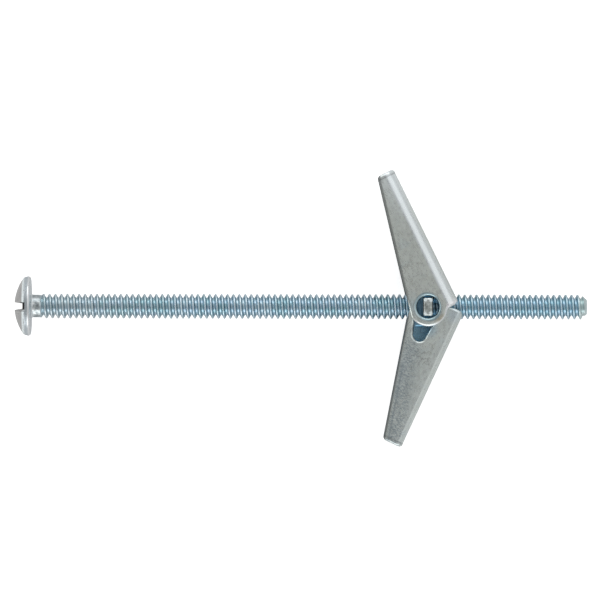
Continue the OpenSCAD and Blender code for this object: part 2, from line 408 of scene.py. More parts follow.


# %% [markdown]
# The screw has a bright zinc with a blue cast. Its crown is greyer from handling, its shoulder
# carries a rolled groove between two ridges, and its plain neck is mottled. Light and shade are
# painted on too: shade on the floor of the groove, and a highlight on each ridge. Each of these
# is a band across the screw, so they are kept in lists: four distances along the screw in
# millimetres, between which the band comes and goes, then its strength and its colour.

# %% Choose the screw's colours
NO_END = (90.0, 91.0)
CROWN = [(0.3, grey(0.48)), (0.5, (0.54, 0.54, 0.53)), (0.7, (0.61, 0.615, 0.61))]
HEAD_BANDS = [
    # the blue-grey shoulder, painted shade on the floor of its groove, a painted highlight on the
    # ridge by the rim, and the rim
    ((-1.2, -0.9, *NO_END), 0.85, (0.66, 0.73, 0.77)),
    ((-0.76, -0.68, -0.56, -0.48), 0.5, (0.50, 0.57, 0.62)),
    ((-0.40, -0.30, -0.16, -0.06), 0.6, grey(0.98)),
    ((-0.16, -0.08, *NO_END), 0.8, (0.80, 0.84, 0.86)),
]
# a painted highlight on the ridge where the groove leaves the crown, laid on as a diffuse white
CROWN_RIDGE_HIGHLIGHT = (-1.20, -1.08, -0.94, -0.80, 0.9)
THREAD = [
    (0.30, (0.50, 0.69, 0.74)), (0.43, (0.60, 0.77, 0.83)), (0.52, (0.65, 0.77, 0.87)),
    (0.60, (0.70, 0.82, 0.88)), (0.74, (0.80, 0.88, 0.92)),
]
THREAD_BANDS = [
    # a deeper blue past the nut
    ((45.0, 62.0, *NO_END), 0.35, (0.54, 0.75, 0.87)),
]
# painted shade on the thread's flanks, between the crests and the roots
FLANK_SHADE_RADII = (1.19, 1.26, 1.58, 1.66, 0.55)
FLANK_SHADE_BLUE = (0.22, 0.38, 0.46)
HEAD_TO_THREAD = (0.4, 1.6)
NECK = [(0.38, (0.30, 0.34, 0.36)), (0.5, (0.50, 0.56, 0.57)), (0.64, (0.82, 0.85, 0.86))]
NECK_BAND = (0.1, 0.3, 1.1, 1.4, 0.9)
NECK_SHADE = (0.36, 0.40, 0.42)
END_BANDS = [
    # the cut tip, and the greyer first third of the thread
    ((73.0, 73.5, *NO_END), 0.7, (0.66, 0.76, 0.73)),
    ((0.8, 1.6, 3.0, 24.0), 0.3, (0.70, 0.72, 0.70)),
]
# painted shade on the floor of the slot, dark and dull
SLOT_FLOOR_BAND = (-1.4, -1.25, -0.74, -0.68)
SLOT_SHADE = 0.98
SLOT_SOFT_EDGE = 0.1
SCREW_ROUGHNESS = (0.22, 0.36)
print("screw colours:", len(CROWN + THREAD + NECK), "stops,",
      len(HEAD_BANDS + THREAD_BANDS + END_BANDS), "bands")


# %% Plate the screw
def paint_bands(tree, distance, colour, bands):
    for edges, amount, tone in bands:
        colour = mix_colour(tree, band(tree, distance, *edges, amount), colour, tone)
    return colour


def thread_tones(tree, place, distance, cloud):
    """Blue, with painted shade on the flanks between the crests and the roots."""
    tones = paint_bands(tree, distance, ramp(tree, cloud, THREAD), THREAD_BANDS)
    radius = length(tree, stretch(tree, place, (0, 1, 1)))
    return mix_colour(tree, band(tree, radius, *FLANK_SHADE_RADII), tones, FLANK_SHADE_BLUE)


def neck_tones(tree, place, across):
    """Mottled, and darker above."""
    mottle = noise(tree, place, scale=2.2, detail=2.0, roughness=0.5)
    shade = step(tree, across, 0.2, 1.0, after=0.6)
    return mix_colour(tree, shade, ramp(tree, mottle, NECK), NECK_SHADE)


def slot_shade(tree, across, distance):
    """Painted shade on the floor of the slot, dark and dull."""
    half_slot = SLOT_WIDTH / MM / 2
    beside = without_sign(tree, across)
    between = step(tree, beside, half_slot - SLOT_SOFT_EDGE, half_slot, SLOT_SHADE, 0.0)
    return times(tree, between, band(tree, distance, *SLOT_FLOOR_BAND))


def screw_plating():
    material, tree = start_material("blue_bright_zinc")
    place = millimetres(tree)
    distance = along(tree, place, (1, 0, 0))
    across = along(tree, place, (0, 1, 0))
    cloud = noise(tree, place, scale=0.42, detail=5.0, roughness=0.65)
    head = paint_bands(tree, distance, ramp(tree, cloud, CROWN), HEAD_BANDS)
    thread = thread_tones(tree, place, distance, cloud)
    colour = mix_colour(tree, step(tree, distance, *HEAD_TO_THREAD), head, thread)
    neck = neck_tones(tree, place, across)
    colour = mix_colour(tree, band(tree, distance, *NECK_BAND), colour, neck)
    colour = paint_bands(tree, distance, colour, END_BANDS)
    lines = noise(tree, place, scale=0.9, detail=6.0, roughness=0.65)
    darkened = slot_shade(tree, across, distance)
    # the painted highlight on the crown's ridge
    ridge = band(tree, distance, *CROWN_RIDGE_HIGHLIGHT)
    return plate(material, tree, colour, lines, SCREW_ROUGHNESS, darkened=darkened, painted_glint=ridge)


screw_zinc = screw_plating()

# %% [markdown]
# The wings were cut from rolled strip before plating, so their coat is greyer and more satin.
# Its marks follow the sheet: speckle, streaks across the strip, yellowish stains where the
# plating liquid dried, and a dark band along the cut edge. The rolled rim of the round hole is
# bluer, and so is the inside of the channel near the hinge, where the plating bath has hung.
# Light and shade are painted on as well: highlights along the bend, towards the tip and on the
# edge of the ear's lobe, and shade in the hole, round its rim, beside the pear-shaped hole and
# in a dark line by the tip.
#
# Painting them by hand on an unwrapped sheet would fix them to one shape. Here each wing has
# its own frame instead, in millimetres, with X from the hinge square to the web, Y along the
# wing to its tip, and Z towards its outer ear, so one set of rules serves both.

# %% Choose how each wing looks
# open: how far the wing is turned. web, free and taper: from the hinge to the web, from the
# hinge to the cut free edge, and the slope of that edge. patches: centre, radii, strength and
# colour. The others are the strengths of marks, or where a mark is. Those for the tip and the
# bend are strengths of painted highlights, groove is that of a fine dark line beside the free
# edge, and the two after bend set the width and the strength of a dark band along the cut edge.
UPPER_LOOK = {
    "open": math.radians(26.2), "web": 3.95, "free": 2.5, "taper": math.radians(12.8),
    "tones": [(0.69, 0.73, 0.70), (0.725, 0.775, 0.735), (0.77, 0.82, 0.78)],
    "tip": 0.85, "bend": 0.8, "dark_edge_width": 0.20, "dark_edge": 0.74, "groove": 0.0,
    "speckle": (0.965, 1.03), "streaks": 0.0, "crack": 0.35, "crack_place": (0.2, 5.5, 3),
    "patches": [
        ((-1.6, 0.6, 3), (1.0, 2.2, 20), 0.7, (0.60, 0.74, 0.78)),
        ((0.9, -2.1, 3), (1.2, 0.7, 20), 0.6, (0.52, 0.46, 0.34)),
    ],
}
LOWER_LOOK = {
    "open": math.radians(24.8), "web": 4.67, "free": 2.39, "taper": math.radians(13.8),
    "tones": [(0.68, 0.74, 0.72), (0.74, 0.80, 0.77), (0.80, 0.86, 0.83)],
    "tip": 0.2, "bend": 0.1, "dark_edge_width": 0.15, "dark_edge": 0.78, "groove": 0.5,
    "speckle": (0.95, 1.04), "streaks": 0.8, "crack": 0.5, "crack_place": (2.2, 7.0, 3),
    "patches": [
        ((3.6, -0.5, 3), (1.4, 1.7, 20), 0.7, (0.64, 0.76, 0.83)),
        ((1.6, 2.6, 3), (1.4, 1.6, 20), 0.8, (0.50, 0.68, 0.78)),
        # painted shade beside the pear-shaped hole
        ((-0.62, 3.2, 3), (0.35, 1.2, 20), 0.95, (0.26, 0.29, 0.31)),
        ((0.2, 10.0, 3), (1.8, 7.0, 20), 0.5, (0.66, 0.74, 0.77)),
    ],
}


def wing_places(tree, side, look):
    """The distances in millimetres by which a wing's marks are laid out."""
    place = millimetres(tree, hinge.x / MM, look["open"], side)
    from_edge = (math.cos(look["taper"]), -math.sin(look["taper"]), 0)
    return {
        "place": place,
        "past_web": along(tree, place, (1, 0, 0), -look["web"]),
        "outward": along(tree, place, (0, 1, 0)),
        "height": along(tree, place, (0, 0, 1)),
        "from_edge": along(tree, place, from_edge, look["free"]),
        "from_hinge": length(tree, stretch(tree, place, (1, 1, 0))),
    }


wing_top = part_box("wing_a")[1].z / MM
print("outer ears", round(wing_top, 2), "mm from the screw's axis")

# %% Tone the flats of a wing
CLOUD_STOPS = (0.3, 0.5, 0.72)
# a painted sheen, lighter towards the tip
TIP_SHEEN_WHITE = (0.93, 1.0, 1.0)
TIP_OUTWARD = (9.0, 18.0)
TIP_FROM_WEB = (-3.6, -1.6)
# a painted highlight along the bend into the web
BEND_HIGHLIGHT_WHITE = (0.88, 0.94, 0.97)
BEND_HIGHLIGHT_BAND = (-1.62, -1.4, -0.8, 0.2)
STAINS = [
    # the noise's scale, detail and roughness, where it starts and is full, strength, colour
    (0.75, 3.0, 0.6, (0.54, 0.72), 0.15, (0.56, 0.54, 0.43)),
    (0.5, 3.0, 0.5, (0.55, 0.7), 0.2, (0.62, 0.76, 0.82)),
]


def flat_tones(tree, at, look):
    """Clouded grey zinc with stains and patches, with a painted sheen towards the tip and a painted
    highlight along the bend.
    """
    cloud = noise(tree, at["place"], scale=0.28, detail=5.0, roughness=0.6)
    colour = ramp(tree, cloud, list(zip(CLOUD_STOPS, look["tones"])))
    for scale, detail, roughness, edges, amount, tone in STAINS:
        stain = step(tree, noise(tree, at["place"], scale, detail, roughness), *edges, 0.0, amount)
        colour = mix_colour(tree, stain, colour, tone)
    for centre, radii, amount, tone in look["patches"]:
        patch = times(tree, spot(tree, at["place"], centre, radii, core=0.2), amount)
        colour = mix_colour(tree, patch, colour, tone)
    # the painted sheen towards the tip
    tip = times(tree, step(tree, at["outward"], *TIP_OUTWARD, 0.0, look["tip"]),
                step(tree, at["past_web"], *TIP_FROM_WEB))
    colour = mix_colour(tree, tip, colour, TIP_SHEEN_WHITE)
    # the painted highlight along the bend
    bend = band(tree, at["past_web"], *BEND_HIGHLIGHT_BAND, look["bend"])
    return mix_colour(tree, bend, colour, BEND_HIGHLIGHT_WHITE)


# %% Wear the surface of a wing
SPECKLE_CONTRAST = (0.36, 0.64)
STREAK_STRETCH = (3.2, 12.0, 1.0)
STREAK_CONTRAST = (0.46, 0.56)
STREAK_BAND = (0.1, 0.4, 1.5, 3.2)
STREAK_OUTWARD = (3.0, 6.0)
STREAK_HEIGHT = (wing_top - 1.6, wing_top - 1.2)
STREAK_GREY = (0.34, 0.41, 0.45)
CRACK_WIDTH = (0.006, 0.018)
CRACK_RADII = (1.9, 2.6, 20)
CRACK_GREY = (0.25, 0.25, 0.24)


def worn(tree, at, colour, look):
    """Speckle all over, short streaks near the free edge of the flats, and a hair crack."""
    grain = noise(tree, at["place"], scale=7.0, detail=2.0, roughness=0.6)
    speckle = step(tree, grain, *SPECKLE_CONTRAST, *look["speckle"])
    colour = mix_colour(tree, 1.0, colour, speckle, "MULTIPLY")

    streak = noise(tree, stretch(tree, at["place"], STREAK_STRETCH), scale=1.0, detail=2.0)
    near_edge = band(tree, at["from_edge"], *STREAK_BAND, look["streaks"])
    near_edge = times(tree, near_edge, step(tree, at["outward"], *STREAK_OUTWARD))
    flats = step(tree, without_sign(tree, at["height"]), *STREAK_HEIGHT)
    dark = times(tree, times(tree, near_edge, flats), step(tree, streak, *STREAK_CONTRAST))
    colour = mix_colour(tree, dark, colour, STREAK_GREY)

    waves = noise(tree, at["place"], scale=0.45, detail=5.0, roughness=0.6)
    contour = without_sign(tree, maths(tree, "SUBTRACT", waves, 0.5))
    crack = times(tree, step(tree, contour, *CRACK_WIDTH, look["crack"], 0.0),
                  spot(tree, at["place"], look["crack_place"], CRACK_RADII, core=0.6))
    return mix_colour(tree, crack, colour, CRACK_GREY)


# %% Colour the rolled rim and the hole of an outer ear
OUTER_SIDE = (0.0, 0.2)
LOBE_FROM_HINGE = (2.38, 2.48)
LOBE_OUTWARD = (-1.0, -0.3)
# a painted highlight on the rounded edge of the ear's lobe
LOBE_HIGHLIGHT_WHITE = (0.97, 0.98, 1.0)
RIM_STRETCH = (1.12, 1, 0)
RIM_EDGE = (1.90, 2.02)
RIM_AMOUNT = 0.9
HOLE_WALL_EDGE = (1.50, 1.62)
# the wall of the hole, a dark blue with painted shade
HOLE_WALL_SHADE_BLUE = (0.16, 0.26, 0.31)
RIM_BLUE = (0.38, 0.52, 0.57)
# a fine line of painted shade round the rolled rim
RIM_SHADE_LINE = (1.88, 1.94, 1.98, 2.08, 0.3)
RIM_SHADE_GREY = (0.28, 0.32, 0.33)


def hole_marks(tree, at, colour):
    """A painted highlight on the edge of the ear's lobe, a bluish rim with a fine line of painted
    shade round it, and painted shade in the hole.
    """
    outer = step(tree, at["height"], *OUTER_SIDE)
    lobe = times(tree, step(tree, at["from_hinge"], *LOBE_FROM_HINGE),
                 step(tree, at["outward"], *LOBE_OUTWARD, 1.0, 0.0))
    colour = mix_colour(tree, times(tree, outer, lobe), colour, LOBE_HIGHLIGHT_WHITE)
    oval = length(tree, stretch(tree, at["place"], RIM_STRETCH))
    rim = times(tree, outer, step(tree, oval, *RIM_EDGE, RIM_AMOUNT, 0.0))
    rim_or_wall = step(tree, at["from_hinge"], *HOLE_WALL_EDGE)
    colour = mix_colour(tree, rim, colour, mix_colour(tree, rim_or_wall, HOLE_WALL_SHADE_BLUE, RIM_BLUE))
    line = band(tree, at["from_hinge"], *RIM_SHADE_LINE)
    return mix_colour(tree, times(tree, outer, line), colour, RIM_SHADE_GREY)


# %% Colour the tip, the free edge and the channel of a wing
# a dark line of painted shade just inside the tip's rounded end
TIP_SHADE_LINE = (17.84, 17.94, 18.06, 18.16, 0.45)
TIP_SHADE_GREY = (0.30, 0.32, 0.33)
# a fine dark line beside the free edge
EDGE_DARK_LINE = (0.45, 0.55, 0.66, 0.78)
EDGE_DARK_LINE_OUTWARD = (7.0, 11.0)
EDGE_DARK_LINE_GREY = (0.30, 0.36, 0.40)
# a dark band along the cut edge
DARK_EDGE_SOFTNESS = 0.1
DARK_EDGE_OUTWARD = (0.5, 2.5)
INSIDE_WEB = (-0.5, -0.35)
UNDER_OUTER_EAR = (wing_top - 0.6, wing_top - 0.5)
UNDER_INNER_EAR = (wing_top - 1.35, wing_top - 1.25)
CHANNEL_OUTWARD = (6.0, 10.0)
CHANNEL_AMOUNT = (0.9, 0.3)
CHANNEL_BLUE = (0.30, 0.54, 0.70)


def edge_marks(tree, at, colour, look):
    """A dark line of painted shade just inside the tip, and a fine dark line beside the free edge.
    """
    colour = mix_colour(tree, band(tree, at["outward"], *TIP_SHADE_LINE), colour, TIP_SHADE_GREY)
    groove = times(tree, band(tree, at["from_edge"], *EDGE_DARK_LINE, look["groove"]),
                   step(tree, at["outward"], *EDGE_DARK_LINE_OUTWARD))
    return mix_colour(tree, groove, colour, EDGE_DARK_LINE_GREY)


def channel_tones(tree, at, colour):
    """Blue inside the channel, most of all near the hinge."""
    deep = step(tree, at["past_web"], *INSIDE_WEB, 1.0, 0.0)
    for direction, level in ((1, UNDER_OUTER_EAR), (-1, UNDER_INNER_EAR)):
        height = times(tree, at["height"], direction)
        deep = times(tree, deep, step(tree, height, *level, 1.0, 0.0))
    deep = times(tree, deep, step(tree, at["outward"], *CHANNEL_OUTWARD, *CHANNEL_AMOUNT))
    return mix_colour(tree, deep, colour, CHANNEL_BLUE)


def dark_cut_edge(tree, at, look):
    """A dark band along the cut edge past the ears."""
    edge = (look["dark_edge_width"], look["dark_edge_width"] + DARK_EDGE_SOFTNESS)
    dark_edge = step(tree, at["from_edge"], *edge, look["dark_edge"], 0.0)
    return times(tree, dark_edge, step(tree, at["outward"], *DARK_EDGE_OUTWARD))


# %% Plate the wings
STRIP_STRETCH = (1.0, 0.4, 1.0)
WING_ROUGHNESS = (0.24, 0.36)
WING_BUMP = 0.004


def wing_plating(name, side, look):
    material, tree = start_material(name)
    at = wing_places(tree, side, look)
    colour = worn(tree, at, flat_tones(tree, at, look), look)
    colour = hole_marks(tree, at, edge_marks(tree, at, colour, look))
    colour = channel_tones(tree, at, colour)
    strip = stretch(tree, at["place"], STRIP_STRETCH)
    lines = noise(tree, strip, scale=3.0, detail=4.0, roughness=0.7)
    dark_edge = dark_cut_edge(tree, at, look)
    return plate(material, tree, colour, lines, WING_ROUGHNESS, WING_BUMP, darkened=dark_edge)


wing_zinc_a = wing_plating("satin_zinc_upper", 1, UPPER_LOOK)
wing_zinc_b = wing_plating("satin_zinc_lower", -1, LOWER_LOOK)

# %% [markdown]
# The nut sits under the ears, so its body is a deep blue zinc, painted darker for the shade
# there, and darker still near the hinge, where the tapping left grooves in it. Only the ends of
# its two tabs show, with painted shade on their sides and painted highlights on their corners.
# One material does both, chosen by height, as it is one coat on one piece.
# The wire of the spring is plated too, and plain.

# %% Choose the nut's colours
# the nut's blue zinc, painted darker for the shade under the ears
NUT_BODY = [(0.3, (0.12, 0.30, 0.45)), (0.5, (0.19, 0.37, 0.52)), (0.7, (0.32, 0.52, 0.66))]
GROOVE_STRETCH = (5.0, 0.6, 1.0)
GROOVE_CONTRAST = (0.3, 0.7)
# painted shade near the hinge, broken into bands by the grooves
WELL_SHADE_AMOUNT = (0.95, 0.5)
WELL_SHADE_RADII = (1.9, 1.9, 20)
WELL_SHADE_BLUE = (0.06, 0.12, 0.17)
TAB_END = [(0.36, (0.34, 0.37, 0.35)), (0.5, (0.60, 0.65, 0.63)), (0.62, (0.88, 0.93, 0.92))]
TAB_MIDDLE = ((0, 0.1, 0), (0.9, 0.95, 20), 0.55)
TAB_MIDDLE_AMOUNT = 0.3
TAB_MIDDLE_GREY = (0.44, 0.49, 0.46)
# painted shade on the sides of a tab's end
TAB_SIDE = (0.46, 0.56)
TAB_SIDE_OUTWARD = (0.55, 0.85)
TAB_SIDE_SHADE = 0.7
# painted highlights on the corners of the tab ends, laid on as a diffuse white
TAB_CORNERS = ((-0.40, -0.92, 0), (0.40, -0.86, 0), (-0.36, 0.92, 0), (0.42, 0.9, 0))
CORNER_RADII = (0.40, 0.36, 20)
END_HEIGHT = (nut_top / MM - 0.45, nut_top / MM - 0.2)
NUT_ROUGHNESS = (0.2, 0.34)
print("tab ends from", round(END_HEIGHT[0], 2), "mm up")


# %% Plate the nut
def nut_body(tree, place, cloud):
    """Deep blue, with painted shade near the hinge, broken into bands by the grooves."""
    grooves = noise(tree, stretch(tree, place, GROOVE_STRETCH), 1.0, detail=2.0, roughness=0.5)
    near_hinge = spot(tree, place, (0, 0, 0), WELL_SHADE_RADII, core=0.8)
    deep = times(tree, near_hinge, step(tree, grooves, *GROOVE_CONTRAST, *WELL_SHADE_AMOUNT))
    return mix_colour(tree, deep, ramp(tree, cloud, NUT_BODY), WELL_SHADE_BLUE)


def tab_ends(tree, place):
    """Mottled grey, and duller in the middle."""
    mottle = noise(tree, place, scale=2.4, detail=3.0, roughness=0.6)
    middle = times(tree, spot(tree, place, *TAB_MIDDLE), TAB_MIDDLE_AMOUNT)
    return mix_colour(tree, middle, ramp(tree, mottle, TAB_END), TAB_MIDDLE_GREY)


def tab_shade_and_glints(tree, place):
    """Where painted shade lies on the sides of a tab's end, and painted highlights on its corners.
    """
    beside = without_sign(tree, along(tree, place, (1, 0, 0)))
    outward = without_sign(tree, along(tree, place, (0, 1, 0)))
    sides = times(tree, step(tree, beside, *TAB_SIDE),
                  step(tree, outward, *TAB_SIDE_OUTWARD, TAB_SIDE_SHADE, 0.0))
    corners = 0.0
    for corner in TAB_CORNERS:
        near = spot(tree, place, corner, CORNER_RADII, core=0.3)
        corners = maths(tree, "MAXIMUM", corners, near)
    return sides, corners


def nut_plating():
    material, tree = start_material("shaded_blue_zinc")
    place = millimetres(tree, hinge.x / MM)
    cloud = noise(tree, place, scale=0.8)
    end = step(tree, without_sign(tree, along(tree, place, (0, 0, 1))), *END_HEIGHT)
    colour = mix_colour(tree, end, nut_body(tree, place, cloud), tab_ends(tree, place))
    sides, corners = tab_shade_and_glints(tree, place)
    return plate(material, tree, colour, cloud, NUT_ROUGHNESS,
                 darkened=times(tree, end, sides), painted_glint=times(tree, end, corners))


nut_zinc = nut_plating()

# %% Plate the spring
WIRE = [(0.3, (0.45, 0.52, 0.57)), (0.5, (0.58, 0.65, 0.7)), (0.7, (0.72, 0.78, 0.8))]
WIRE_ROUGHNESS = (0.25, 0.4)


def wire_plating():
    material, tree = start_material("plated_wire")
    cloud = noise(tree, millimetres(tree, hinge.x / MM), scale=0.8)
    return plate(material, tree, ramp(tree, cloud, WIRE), cloud, WIRE_ROUGHNESS)


spring_zinc = wire_plating()

# %% [markdown]
# ## Helpers for the pieces
#
# A finished piece is an object at the origin, with its place in its mesh, which stands for a
# solid and rides on that solid's body. Its faces are shaded smooth except across sharp edges,
# which are marked in the mesh so that no modifier is left to do it.

# %% Piece helpers
TURNED_ANGLE = math.radians(40)
ON_PLANE = 1e-8


def apply_modifiers(piece):
    shape = piece.evaluated_get(bpy.context.evaluated_depsgraph_get())
    mesh = bpy.data.meshes.new_from_object(shape)
    piece.modifiers.clear()
    old = piece.data
    piece.data = mesh
    bpy.data.meshes.remove(old)
    return piece


def smooth_by_angle(piece, angle):
    mesh = piece.data
    mesh.shade_smooth()
    bm = bmesh.new()
    bm.from_mesh(mesh)
    for edge in bm.edges:
        edge.smooth = len(edge.link_faces) == 2 and edge.calc_face_angle(0) < angle
    bm.to_mesh(mesh)
    bm.free()


def finish_piece(piece, node, body, material):
    piece.data.materials.clear()
    piece.data.materials.append(material)
    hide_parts(node)
    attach(piece, body)
    triangles = sum(len(p.vertices) - 2 for p in piece.data.polygons)
    print(piece.name, triangles, "triangles")


def cut_away(bm, at, towards):
    """Cut everything off past a plane across the screw."""
    bmesh.ops.bisect_plane(
        bm, geom=bm.verts[:] + bm.edges[:] + bm.faces[:], dist=ON_PLANE,
        plane_co=(at, 0, 0), plane_no=(towards, 0, 0), clear_outer=True,
    )


# %% [markdown]
# ## The screw's thread
#
# A #6-32 thread climbs 0.79375 mm a turn. Stacked rings would be easier, but they don't climb,
# and it shows where the crests cross the screw's edge. Blender's spin operator can climb as it
# turns, so one small section of the thread, a single crest between two roots, sweeps out one
# turn of helix, and copies of it make the rest. Near the neck the thread fades into the plain
# shank, and at the tip it is pointed.

# %% Sweep the thread
PITCH = 0.79375 * MM
CREST_RADIUS = 1.67 * MM
THREAD_DEPTH = 0.52 * MM
NECK_RADIUS = 1.525 * MM
NECK_LENGTH = 1.12 * MM
CREST_START = 0.0933 * MM
STEPS_PER_TURN = 40
THREAD_MERGE = 0.003 * MM
# from the crest to the root: distance along the screw and height, as parts of pitch and depth
HALF_PROFILE = [
    (0.0, 1.0), (0.06, 0.995), (0.10, 0.96), (0.14, 0.87), (0.40, 0.10), (0.44, 0.03), (0.5, 0.0),
]


def thread_section(start):
    """One crest between two roots, as distances along the screw and radii."""
    parts = [(-u, h) for u, h in reversed(HALF_PROFILE[1:])] + HALF_PROFILE
    return [(start + u * PITCH, CREST_RADIUS - THREAD_DEPTH * (1 - h)) for u, h in parts]


def sweep_turns():
    """One turn is swept, and its copies double until they cover the screw."""
    bm = bmesh.new()
    start = CREST_START + (math.floor((NECK_LENGTH - CREST_START) / PITCH) - 2) * PITCH
    row = [bm.verts.new((x, radius, 0)) for x, radius in thread_section(start)]
    chain = [bm.edges.new(pair) for pair in zip(row, row[1:])]
    bmesh.ops.spin(
        bm, geom=row + chain, cent=(0, 0, 0), axis=(1, 0, 0), dvec=(PITCH / STEPS_PER_TURN, 0, 0),
        angle=2 * math.pi, steps=STEPS_PER_TURN, use_merge=False,
    )
    turns = 1
    while start + (turns - 1) * PITCH < screw_end:
        copy = bmesh.ops.duplicate(bm, geom=bm.verts[:] + bm.edges[:] + bm.faces[:])["geom"]
        copied = [part for part in copy if isinstance(part, bmesh.types.BMVert)]
        bmesh.ops.translate(bm, vec=(turns * PITCH, 0, 0), verts=copied)
        turns *= 2
    past_tip = [v for v in bm.verts if v.co.x > screw_end + PITCH]
    bmesh.ops.delete(bm, geom=past_tip, context="VERTS")
    bmesh.ops.remove_doubles(bm, verts=bm.verts, dist=THREAD_MERGE)
    return bm


# %% Shape the ends of the thread
FADE_LENGTH = 0.9 * PITCH
TIP_RADIUS = 0.98 * MM
TIP_SLOPE = 0.9


def shape_ends(bm):
    """Fade the thread in past the neck, and point it at the tip."""
    for vert in bm.verts:
        radius = math.hypot(vert.co.y, vert.co.z)
        fade = min(max((vert.co.x - NECK_LENGTH) / FADE_LENGTH, 0), 1)
        fade = fade * fade * (3 - 2 * fade)
        wanted = NECK_RADIUS + (radius - NECK_RADIUS) * fade
        wanted = min(wanted, TIP_RADIUS + (screw_end - vert.co.x) * TIP_SLOPE)
        vert.co.y *= wanted / radius
        vert.co.z *= wanted / radius


def make_thread():
    bm = sweep_turns()
    shape_ends(bm)
    cut_away(bm, NECK_LENGTH, -1)
    cut_away(bm, screw_end, 1)
    open_edges = [e for e in bm.edges if e.is_boundary]
    tip = [e for e in open_edges if all(v.co.x > screw_end - PITCH for v in e.verts)]
    bmesh.ops.holes_fill(bm, edges=tip, sides=0)
    print("thread:", len(bm.faces), "faces, open edges", sum(e.is_boundary for e in bm.edges))
    return link_mesh("thread", bm)


thread_piece = make_thread()

# %% [markdown]
# ## The screw's head
#
# The head is a body of revolution: a broad crown, a tight shoulder with a groove rolled round
# it, a rim rolled under to the bearing face, then a small fillet into the neck. Its outline is
# drawn as arcs that run into each other and is spun round the screw's axis, which gives rounder
# arcs than bevelling a stack of cylinders.

# %% Draw the head's outline
CROWN_RADIUS = 6.5 * MM
RIM_RADIUS = 0.4 * MM
NECK_FILLET = 0.3 * MM
FLAT_BY_FILLET = 0.4 * MM
NECK_OVERLAP = 0.05 * MM
GROOVE_START, GROOVE_END, GROOVE_DEPTH = -0.94 * MM, -0.30 * MM, 0.04 * MM
CROWN_STEPS, SHOULDER_STEPS, RIM_STEPS, FILLET_STEPS = 24, 40, 10, 5


def arc(centre, radius, first, last, count):
    """Points on an arc, as (x, radius) pairs, with angles from the head's outward direction."""
    turns = [first + (last - first) * i / count for i in range(count + 1)]
    return [(centre[0] - radius * math.cos(turn), centre[1] + radius * math.sin(turn))
            for turn in turns]


def groove_depth(x):
    """A shallow groove rolled round the shoulder, between two fine ridges."""
    part = (x - GROOVE_START) / (GROOVE_END - GROOVE_START)
    return GROOVE_DEPTH * math.sin(math.pi * part) ** 2 if 0 < part < 1 else 0


def head_section():
    """Arcs from the crown to the neck, with a shoulder that meets its neighbours smoothly."""
    height = -head_top
    crown_x = head_top + CROWN_RADIUS
    shoulder = CROWN_RADIUS ** 2 - (CROWN_RADIUS - height + RIM_RADIUS) ** 2 - head_radius ** 2
    shoulder /= 2 * (CROWN_RADIUS - head_radius)
    meet = math.atan2(head_radius - shoulder, crown_x + RIM_RADIUS)
    quarter, shoulder_at = math.pi / 2, (-RIM_RADIUS, head_radius - shoulder)
    rim_at = (-RIM_RADIUS, head_radius - RIM_RADIUS)
    fillet_at = (NECK_FILLET, NECK_RADIUS + NECK_FILLET)
    points = arc((crown_x, 0), CROWN_RADIUS, 0, meet, CROWN_STEPS)
    points += arc(shoulder_at, shoulder, meet, quarter, SHOULDER_STEPS)[1:]
    points += arc(rim_at, RIM_RADIUS, quarter, 2 * quarter, RIM_STEPS)[1:]
    points += [(0, fillet_at[1] + FLAT_BY_FILLET)]
    points += arc(fillet_at, NECK_FILLET, 0, -quarter, FILLET_STEPS)
    neck_end = NECK_LENGTH + NECK_OVERLAP
    points += [(neck_end, NECK_RADIUS), (neck_end, 0)]
    return [(x, radius - groove_depth(x)) for x, radius in points]


# %% Spin the head
HEAD_STEPS = 128
HEAD_MERGE = 0.0005 * MM


def turn_head():
    bm = bmesh.new()
    row = [bm.verts.new((x, radius, 0)) for x, radius in head_section()]
    chain = [bm.edges.new(pair) for pair in zip(row, row[1:])]
    bmesh.ops.spin(
        bm, geom=row + chain, cent=(0, 0, 0), axis=(1, 0, 0),
        angle=2 * math.pi, steps=HEAD_STEPS, use_merge=True,
    )
    bmesh.ops.remove_doubles(bm, verts=bm.verts, dist=HEAD_MERGE)
    bmesh.ops.recalc_face_normals(bm, faces=bm.faces)
    print("head:", len(bm.faces), "faces")
    return link_mesh("slotted_screw", bm)


screw_piece = turn_head()

# %% [markdown]
# The floor of the slot is a low arch that follows the crown, so that the head keeps its metal
# where it is thickest. A slab taken away with a Boolean modifier is the plain way to cut a
# slot, and here the slab's lower side is that arch. The lips are rounded afterwards, as plated
# slots always are.

# %% Make the cutter of the slot
SLOT_FLOOR = head_top + 1.07 * MM
SLOT_FLOOR_RADIUS = 17 * MM
SLOT_TURN = math.radians(3)
CUTTER_HALF_LENGTH = 5 * MM
CUTTER_STEPS = 24


def slot_cutter():
    """A slab across the crown whose lower side is an arch."""
    bm = bmesh.new()
    edge, side = CUTTER_HALF_LENGTH, -SLOT_WIDTH / 2
    heights = [edge * (2 * i / CUTTER_STEPS - 1) for i in range(CUTTER_STEPS + 1)]
    centre = SLOT_FLOOR + SLOT_FLOOR_RADIUS
    outline = [(centre - math.sqrt(SLOT_FLOOR_RADIUS ** 2 - z ** 2), side, z) for z in heights]
    outline += [(head_top - MM, side, edge), (head_top - MM, side, -edge)]
    face = bm.faces.new([bm.verts.new(point) for point in outline])
    grown = bmesh.ops.extrude_face_region(bm, geom=[face])["geom"]
    moved = [part for part in grown if isinstance(part, bmesh.types.BMVert)]
    bmesh.ops.translate(bm, vec=(0, SLOT_WIDTH, 0), verts=moved)
    bmesh.ops.recalc_face_normals(bm, faces=bm.faces)
    bmesh.ops.rotate(bm, cent=(0, 0, 0), matrix=Matrix.Rotation(SLOT_TURN, 3, "X"), verts=bm.verts)
    return link_mesh("slot_cutter", bm)


